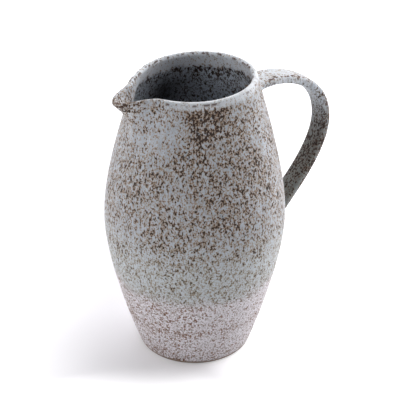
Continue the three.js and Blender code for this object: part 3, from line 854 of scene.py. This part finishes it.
def laceLevel(tree, at, coat):  # iron breaks through the second coat in a fine lace with dark dots
    calc = maths(tree)
    clear = calc("ADD", calc("MULTIPLY", at["green"], glaze["greenClear"]),
                 calc("MULTIPLY", zone(tree, at, "palerTop"), coat["paler"]))
    clear = calc("MULTIPLY_ADD", at["lip"], coat["lipClear"] * glaze["lipClear"], clear)
    clear = calc("MULTIPLY_ADD", at["inside"], glaze["insideClear"], clear)
    clear = calc("MULTIPLY_ADD", zone(tree, at, "shadedSpecks"), glaze["shadeClear"] * coat["shade"], clear)
    lace = calc("ADD", at["lace"], calc("MULTIPLY", calc("SUBTRACT", at["dust"], 0.5), glaze["laceDust"]))
    bare = calc("SUBTRACT", glaze["laceBare"], calc("MULTIPLY", at["iron"], glaze["laceIron"]))
    level = calc("SUBTRACT", calc("SUBTRACT", lace, bare), clear)
    few = calc("ADD", glaze["dotBare"], clear)
    amount = calc("SUBTRACT", calc("MULTIPLY", at["iron"], glaze["dotIron"]), few)
    return level, useGroup(tree, specks, Vector=at["coords"], Amount=amount, **glaze["dots"])


def upperCoat(tree, at, coat):  # above the dip line: amber at the edges of the lace and dark in its middle
    calc = maths(tree)
    at["level"], dots = laceLevel(tree, at, coat)
    # on the strap's inner face the halo and, lower down, the base take a painted shade, darker as if in
    # shadow
    halo = layColors(tree, glaze["amber"], [
        (at["green"], glaze["olive"]),
        (calc("MULTIPLY", at["under"], coat["shade"] * glaze["haloShade"]), glaze["strapPaintedShade"]),
        (at["inside"], glaze["insideHalo"])])
    strapShadeShare = calc("MULTIPLY", zone(tree, at, "strapPaintedShadeZone"), calc("MULTIPLY", at["under"], coat["shade"]))
    # painted highlight at the spout's tip
    spoutTipHighlight = calc("MULTIPLY", zone(tree, at, "spoutTipHighlight"), zone(tree, at, "spoutTop"))
    grainy = calc("MULTIPLY_ADD", at["green"], glaze["grainGreen"], glaze["grainShare"])
    grainy = calc("MULTIPLY", grainy, calc("MULTIPLY_ADD", at["lip"], glaze["lipGrain"], 1.0))
    greenish = calc("MULTIPLY", at["green"], glaze["brownGreen"])
    brown = blendColor(tree, greenish, glaze["brown"], glaze["olive"])
    core = calc("MAXIMUM", zone(tree, at, "core"), calc("MULTIPLY", dots, glaze["dotDark"]))
    color = layColors(tree, glaze["upper"], [
        (at["runs"], glaze["upperPale"]),
        (calc("MULTIPLY", at["green"], glaze["greenShare"]), glaze["upperGreen"]),
        (strapShadeShare, glaze["strapPaintedShade"]),
        # painted highlight on the strap's top
        (calc("MULTIPLY", zone(tree, at, "strapTopHighlight"), coat["shade"]), glaze["crest"]),
        (calc("MULTIPLY", at["lip"], coat["lipClear"] * glaze["lipPale"]), glaze["crest"]),
        (spoutTipHighlight, glaze["crest"]),
        (at["inside"], glaze["inside"]),
        (calc("MULTIPLY", zone(tree, at, "grain"), grainy), halo),
        (zone(tree, at, "halo"), halo),
        (zone(tree, at, "brown"), brown),
        (core, glaze["dark"])])
    # painted shade deep inside the mouth, away from the spout: the colour is darkened as if in shadow
    insideShade = calc("MULTIPLY", zone(tree, at, "insideShadeFar"), zone(tree, at, "insideShadeDeep"))
    insideShade = calc("MULTIPLY", insideShade, zone(tree, at, "insideShadePastSpout"))
    return blendColor(tree, insideShade, color, vector(tree, "MULTIPLY", color, glaze["deep"])), core


def lowerCoat(tree, at):  # below the dip line: paler, with rusty specks in bands
    calc = maths(tree)
    at["fromFold"] = calc("ABSOLUTE", calc("SUBTRACT", at["height"], glaze["foldBand"]))
    gather = calc("ADD", zone(tree, at, "fold"), zone(tree, at, "footGather"))
    gather = calc("ADD", gather, zone(tree, at, "spoutSide"))
    rusty = calc("MULTIPLY", at["streaks"], glaze["rustStreaks"])
    rusty = calc("MULTIPLY_ADD", gather, glaze["rustGather"], rusty)
    rusty = calc("MULTIPLY_ADD", at["clumps"], glaze["rustClumps"], rusty)
    net = calc("ADD", at["net"], calc("MULTIPLY", calc("SUBTRACT", at["dust"], 0.5), glaze["netDust"]))
    bare = calc("SUBTRACT", glaze["netBare"], calc("MULTIPLY", rusty, glaze["netRust"]))
    at["bared"] = calc("SUBTRACT", net, bare)
    return layColors(tree, glaze["lower"], [
        (calc("MULTIPLY", at["streaks"], glaze["warmStreaks"]), glaze["lowerWarm"]),
        (zone(tree, at, "lowerGrain"), glaze["lowerGrain"]),
        (zone(tree, at, "netGrain"), glaze["lowerGrain"]),
        (zone(tree, at, "rust"), glaze["rust"]),
        (zone(tree, at, "rustCore"), glaze["brown"])])


def breakEdges(tree, at, coat, color):  # brown beads where the glaze is thin on an edge, and a painted highlight along the crest on the near side and on the strap's top
    calc = maths(tree)
    beads = useGroup(tree, specks, Vector=at["coords"], Cell=coat["beadCell"], **glaze["beads"])
    beads = calc("MAXIMUM", beads, zone(tree, at, "spoutBeads"))
    crown = calc("MULTIPLY", at["thin"], glaze["crownGain"], clamp=True)
    if coat["shade"]:  # the strap: the painted highlight goes on its top
        near = zone(tree, at, "strapTop")
    else:
        near = calc("MULTIPLY", zone(tree, at, "nearLip"), zone(tree, at, "nearSide"))
    streaky = calc("ADD", zone(tree, at, "streaky"), glaze["crestLeast"])
    # painted highlight: the crest is whitened on the near side
    cleanAndHighlight = calc("MULTIPLY", calc("MULTIPLY", crown, near), streaky)
    beadShare = calc("MULTIPLY_ADD", near, glaze["crestBeads"], 1.0)
    broken = calc("MULTIPLY_ADD", crown, beadShare, calc("MAXIMUM", at["thin"], 0.0))
    broken = calc("MULTIPLY", broken, calc("MULTIPLY_ADD", zone(tree, at, "lowStrap"), coat["shade"], 1.0))
    bead = calc("MULTIPLY", broken, calc("MULTIPLY", beads, coat["edgeGain"]), clamp=True)
    return layColors(tree, color, [(cleanAndHighlight, glaze["crest"]), (bead, glaze["edge"])])


def dippedGlaze(name, coat):
    material, tree, shader, coords = startMaterial(name)
    calc = maths(tree)
    at = readGlaze(tree, coords, coat)
    upper, core = upperCoat(tree, at, coat)
    lower = lowerCoat(tree, at)
    ragged = calc("MULTIPLY", calc("SUBTRACT", at["lace"], 0.5), glaze["dipLace"])
    stir = calc("ADD", calc("SUBTRACT", at["wave"], 0.5), ragged)
    dip = calc("ADD", at["height"], calc("MULTIPLY", stir, glaze["dipWave"]))
    above = ramp(tree, dip, glaze["dipHeight"] - glaze["dipSoft"], glaze["dipHeight"] + glaze["dipSoft"])
    color = breakEdges(tree, at, coat, blendColor(tree, above, lower, upper))
    satin = calc("SUBTRACT", glaze["satin"], calc("MULTIPLY", above, glaze["gloss"]))
    roughness = calc("MULTIPLY_ADD", core, glaze["ironSatin"], satin)
    relief = calc("SUBTRACT", calc("MULTIPLY", at["dust"], glaze["dustRelief"]),
                  calc("MULTIPLY", core, glaze["ironRelief"]))
    setSurface(tree, shader, color, roughness, glaze["bump"], glaze["bumpHeight"], relief)
    return material


stoneware = {
    "color": srgb(146, 128, 116), "pale": srgb(166, 150, 138),
    "grain": (1.2, 1.0, 3.0, 2.0, 6.0), "cloud": (20.0, 1.0, 2.0, 1.6, 8.0),  # as in glazeDrifts
    "iron": {"Cell": 0.003, "Stretch": 1.0, "Amount": 0.4, "Ragged": 0.8, "Soft": 0.25, "Offset": 51.0},
    "ironGain": 0.7, "roughness": 0.82, "grainRoughness": 0.12, "bump": 0.4, "bumpHeight": 0.0003,
}


def bareClay(name):
    material, tree, shader, coords = startMaterial(name)
    calc = maths(tree)
    grain = useDrift(tree, coords, *stoneware["grain"])
    iron = useGroup(tree, specks, Vector=coords, **stoneware["iron"])
    color = layColors(tree, stoneware["color"], [
        (useDrift(tree, coords, *stoneware["cloud"]), stoneware["pale"]),
        (calc("MULTIPLY", iron, stoneware["ironGain"]), glaze["brown"])])
    roughness = calc("ADD", stoneware["roughness"], calc("MULTIPLY", grain, stoneware["grainRoughness"]))
    setSurface(tree, shader, color, roughness, stoneware["bump"], stoneware["bumpHeight"], grain)
    return material


specks = specksGroup()
drift = driftGroup()
jugGlaze = dippedGlaze("dippedGlaze", jugCoat)
strapGlaze = dippedGlaze("strapGlaze", strapCoat)
clay = bareClay("bareStoneware")
print("stage: materials ready")

wallNodes = throwTree()
strapNodes = strapTree()
throwWall("thrownBody", claySection(), clay, "thrown_body")
throwWall("upperGlaze", upperSection(), jugGlaze, "upper_glaze")
throwWall("lowerGlaze", lowerSection(), jugGlaze, "lower_glaze")
throwWall("linerGlaze", linerSection(), jugGlaze, "liner_glaze")
pullStrap("strapHandle", strap["clayEnds"], strap["clayGrow"], clay, "strap_handle")
pullStrap("handleGlaze", strap["glazeEnds"], wall["glaze"], strapGlaze, "handle_glaze")
smearJoint("upperSlipJoint", "upper", strapGlaze, "upper_slip_joint")
smearJoint("lowerSlipJoint", "lower", strapGlaze, "lower_slip_joint")
print("stage: jug made")


# camera at the photograph's viewing angle

shot = {
    "azimuth": -33.5, "elevation": 29.5, "distance": 1.1, "lens": 123.02, "sensor": 36,
    "side": 0.01068, "lift": 0.11646,
}


def addCamera():
    turn, tilt = math.radians(shot["azimuth"]), math.radians(shot["elevation"])
    right = Vector((math.cos(turn), math.sin(turn), 0))
    ahead = Vector((-math.sin(turn), math.cos(turn), 0))
    data = bpy.data.cameras.new("shotCamera")
    data.lens = shot["lens"]
    data.sensor_width = shot["sensor"]
    camera = bpy.data.objects.new("shotCamera", data)
    up = Vector((0, 0, shot["lift"] + shot["distance"] * math.sin(tilt)))
    camera.location = right * shot["side"] - ahead * shot["distance"] * math.cos(tilt) + up
    camera.rotation_euler = (math.pi / 2 - tilt, 0, turn)
    scene.collection.objects.link(camera)
    scene.camera = camera
    return right, ahead


right, ahead = addCamera()


# studio: white floor that keeps the shadow, a bright backdrop, soft lamps round the jug and a dim front

studio = {
    "roomBack": 1.15, "roomTint": (0.97, 0.98, 1.0, 1.0), "middle": 0.11,
    "lamps": [  # name, then how far right, ahead and up from the jug, size and power
        ("keyLamp", 0.55, 0.0, 1.0, 0.8, 3.3), ("topBackLamp", 0.0, 0.7, 0.95, 0.9, 5.2),
        ("leftLamp", -1.05, 0.0, 0.55, 1.1, 2.2), ("leftFrontLamp", -1.0, -0.55, 0.45, 0.8, 3.8),
        ("rightLamp", 1.05, 0.1, 0.55, 1.1, 3.5), ("edgeLamp", 1.0, 0.6, 0.4, 0.6, 4.8),
        ("frontLamp", 0.1, -1.1, 0.5, 1.2, 0.8)],
    "floorSize": 6.0, "floorTone": (0.745, 0.73, 0.77, 1.0), "floorBounce": (0.94, 0.94, 0.94, 1.0),
    "floorGlow": 0.265,
    "lightPools": [  # painted pools of light: the floor glows whiter away from the jug; which way, where it starts, where it is full, how much
        ("beyond", -0.046, -0.084, 0.5), ("aside", -0.062, -0.14, 0.25), ("aside", 0.0, 0.04, 0.4),
        ("away", 0.2, 0.7, 0.8)],
}


def addLamp(name, place, aim, size, power):
    data = bpy.data.lights.new(name, "AREA")
    data.shape = "DISK"
    data.size = size
    data.energy = power
    lamp = bpy.data.objects.new(name, data)
    lamp.location = place
    lamp.rotation_euler = (aim - place).to_track_quat("-Z", "Y").to_euler()
    scene.collection.objects.link(lamp)


def seenOrNot(tree, hidden, seen):  # seen by the camera, in a reflection or through glass
    calc = maths(tree)
    path = tree.nodes.new("ShaderNodeLightPath").outputs
    shown = calc("MAXIMUM", path["Is Camera Ray"], path["Is Glossy Ray"])
    pick = tree.nodes.new("ShaderNodeMixShader")
    tree.links.new(calc("MAXIMUM", shown, path["Is Transmission Ray"]), pick.inputs[0])
    tree.links.new(hidden, pick.inputs[1])
    tree.links.new(seen, pick.inputs[2])
    return pick.outputs[0]


def addStudio():
    middle = Vector((0, 0, studio["middle"]))
    for name, aside, beyond, above, size, power in studio["lamps"]:
        place = middle + right * aside + ahead * beyond + Vector((0, 0, above))
        addLamp(name, place, middle, size, power)
    world = bpy.data.worlds.new("studioRoom")
    scene.world = world
    world.use_nodes = True
    tree = world.node_tree
    tree.nodes.clear()
    way = tree.nodes.new("ShaderNodeTexCoord").outputs["Generated"]
    back = ramp(tree, vector(tree, "DOT_PRODUCT", way, tuple(ahead)), 0.0, 1.0)
    white = addNode(tree, "ShaderNodeBackground", Color=(1, 1, 1, 1), Strength=1.0)
    soft = addNode(tree, "ShaderNodeBackground", Color=studio["roomTint"],
                   Strength=maths(tree)("MULTIPLY", back, studio["roomBack"]))
    both = seenOrNot(tree, soft.outputs[0], white.outputs[0])
    tree.links.new(both, tree.nodes.new("ShaderNodeOutputWorld").inputs["Surface"])


def addFloor():
    half = studio["floorSize"] / 2
    corners = [(-half, -half, 0), (half, -half, 0), (half, half, 0), (-half, half, 0)]
    mesh = meshFrom("studioFloor", corners, (), [(0, 1, 2, 3)])
    floor = bpy.data.objects.new("studioFloor", mesh)
    scene.collection.objects.link(floor)
    material = bpy.data.materials.new("studioFloor")
    material.use_nodes = True
    tree = material.node_tree
    tree.nodes.clear()
    calc = maths(tree)
    plain = addNode(tree, "ShaderNodeBsdfDiffuse", Color=studio["floorBounce"])
    shown = addNode(tree, "ShaderNodeBsdfDiffuse", Color=studio["floorTone"])
    spot = tree.nodes.new("ShaderNodeTexCoord").outputs["Object"]
    ways = {"aside": vector(tree, "DOT_PRODUCT", spot, tuple(right)),
            "beyond": vector(tree, "DOT_PRODUCT", spot, tuple(ahead)),
            "away": vector(tree, "DISTANCE", spot, (0, 0, 0))}
    # painted light: the floor's glow rises in pools away from the jug, on top of its even glow
    strength = 0.0
    for way, start, full, gain in studio["lightPools"]:
        strength = calc("MAXIMUM", strength, calc("MULTIPLY", ramp(tree, ways[way], start, full), gain))
    strength = calc("ADD", strength, studio["floorGlow"])
    glow = addNode(tree, "ShaderNodeEmission", Color=(1, 1, 1, 1), Strength=strength)
    lit = tree.nodes.new("ShaderNodeAddShader")
    tree.links.new(shown.outputs[0], lit.inputs[0])
    tree.links.new(glow.outputs[0], lit.inputs[1])
    both = seenOrNot(tree, plain.outputs[0], lit.outputs[0])
    tree.links.new(both, tree.nodes.new("ShaderNodeOutputMaterial").inputs["Surface"])
    mesh.materials.append(material)


addStudio()
addFloor()
print("stage: studio lit")
